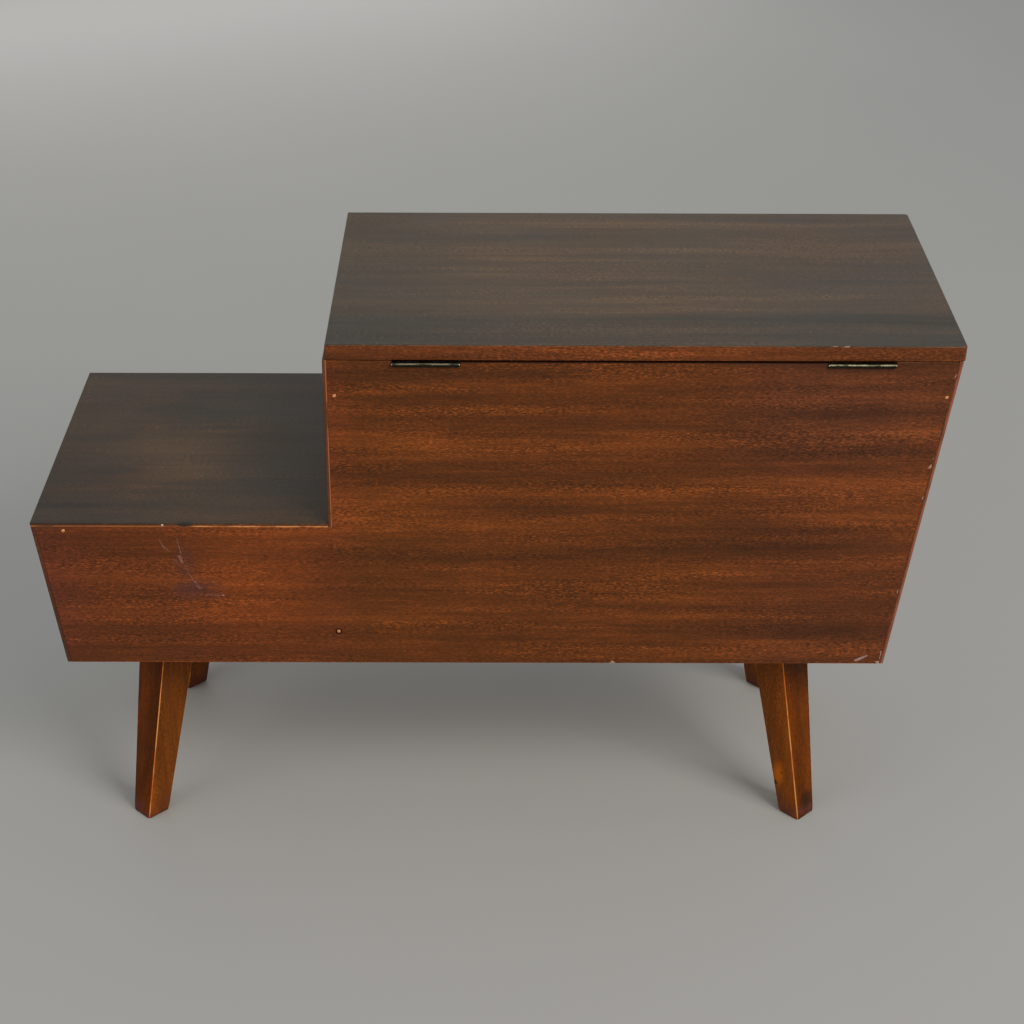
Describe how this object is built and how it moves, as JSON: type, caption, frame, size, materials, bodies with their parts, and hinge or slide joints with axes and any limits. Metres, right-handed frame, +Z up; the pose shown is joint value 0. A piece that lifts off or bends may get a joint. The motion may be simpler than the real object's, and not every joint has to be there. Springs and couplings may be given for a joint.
{
  "type": "sewing table",
  "caption": "Stepped sewing table: a lidded chest beside a lower shelf with a drawer, inward leaning ends, and splayed tapered legs.",
  "frame": {"origin": "on the floor, under the centre of the overall box", "axes": "+Z up, the front faces -Y, the tall chest is towards -X"},
  "size_m": [0.7099, 0.2954, 0.4475],
  "materials": {
    "veneer_back": "satin lacquer, worn edges",
    "veneer_case": "satin lacquer",
    "veneer_top": "satin lacquer",
    "drawer_front_veneer": "satin lacquer",
    "leg_wood": "lacquered",
    "inner_wood": "unfinished",
    "tray_wood": "thin lacquer",
    "plywood": "unfinished",
    "drawer_wood": "unfinished",
    "dark_bronze": "dark, aged",
    "dark_screws": "dark, aged",
    "brass": "dulled",
    "knob_wood": "lacquered",
    "steel": "dull, slightly rusted"
  },
  "bodies": {
    "cabinet": {"back_panel": "veneer_back", "back_panel_nails": "steel", "back_panel_punched_nails": "steel", "bottom_board": "veneer_case", "divider_panel": "veneer_case", "drawer_guide": "inner_wood", "drawer_stop": "inner_wood", "front_panel": "veneer_case", "hinge_body_screws": "dark_screws", "hinge_left_body_leaf": "dark_bronze", "hinge_left_pin": "dark_bronze", "hinge_right_body_leaf": "dark_bronze", "hinge_right_pin": "dark_bronze", "leg_front_left": "leg_wood", "leg_front_right": "leg_wood", "leg_rear_left": "leg_wood", "leg_rear_right": "leg_wood", "leg_screws": "steel", "low_end_panel": "veneer_case", "low_top_board": "veneer_top", "rear_rail": "inner_wood", "stay_guide_stud": "brass", "tall_end_panel": "veneer_case", "tray_ledge_back": "inner_wood", "tray_ledge_front": "inner_wood"},
    "lid": {"lid": "veneer_top", "hinge_left_lid_leaf": "dark_bronze", "hinge_right_lid_leaf": "dark_bronze", "hinge_lid_screws": "dark_screws", "stay_lid_bracket": "brass", "stay_bracket_screws": "brass", "stay_rivet": "brass"},
    "stay": {"stay_arm": "brass"},
    "tray": {"tray_back": "tray_wood", "tray_bottom": "plywood", "tray_front": "tray_wood", "tray_left_end": "tray_wood", "tray_long_partition": "tray_wood", "tray_right_end": "tray_wood", "tray_short_partition_1": "tray_wood", "tray_short_partition_2": "tray_wood", "tray_short_partition_3": "tray_wood"},
    "drawer": {"drawer_back": "drawer_wood", "drawer_bottom": "plywood", "drawer_front": "drawer_front_veneer", "drawer_knob": "knob_wood", "drawer_knob_screw": "steel", "drawer_left_side": "drawer_wood", "drawer_right_side": "drawer_wood"}
  },
  "joints": [
    {"name": "lid_hinge", "type": "hinge", "parent": "cabinet", "child": "lid", "pos_m": [0, 0.1457, 0.4324], "axis": [-1, 0, 0], "range_deg": [0, 95]},
    {"name": "stay_pivot", "type": "hinge", "parent": "lid", "child": "stay", "pos_m": [0.107, 0.0458, 0.428], "axis": [-1, 0, 0], "range_deg": [-47.5, 0]},
    {"name": "tray_slide", "type": "slide", "parent": "cabinet", "child": "tray", "axis": [1, 0, 0], "range_m": [0, 0.165]},
    {"name": "drawer_slide", "type": "slide", "parent": "cabinet", "child": "drawer", "axis": [0, -1, 0], "range_m": [0, 0.2]}
  ],
  "couplings": [
    {"joint": "stay_pivot", "follows": "lid_hinge", "ratio": -0.5}
  ]
}
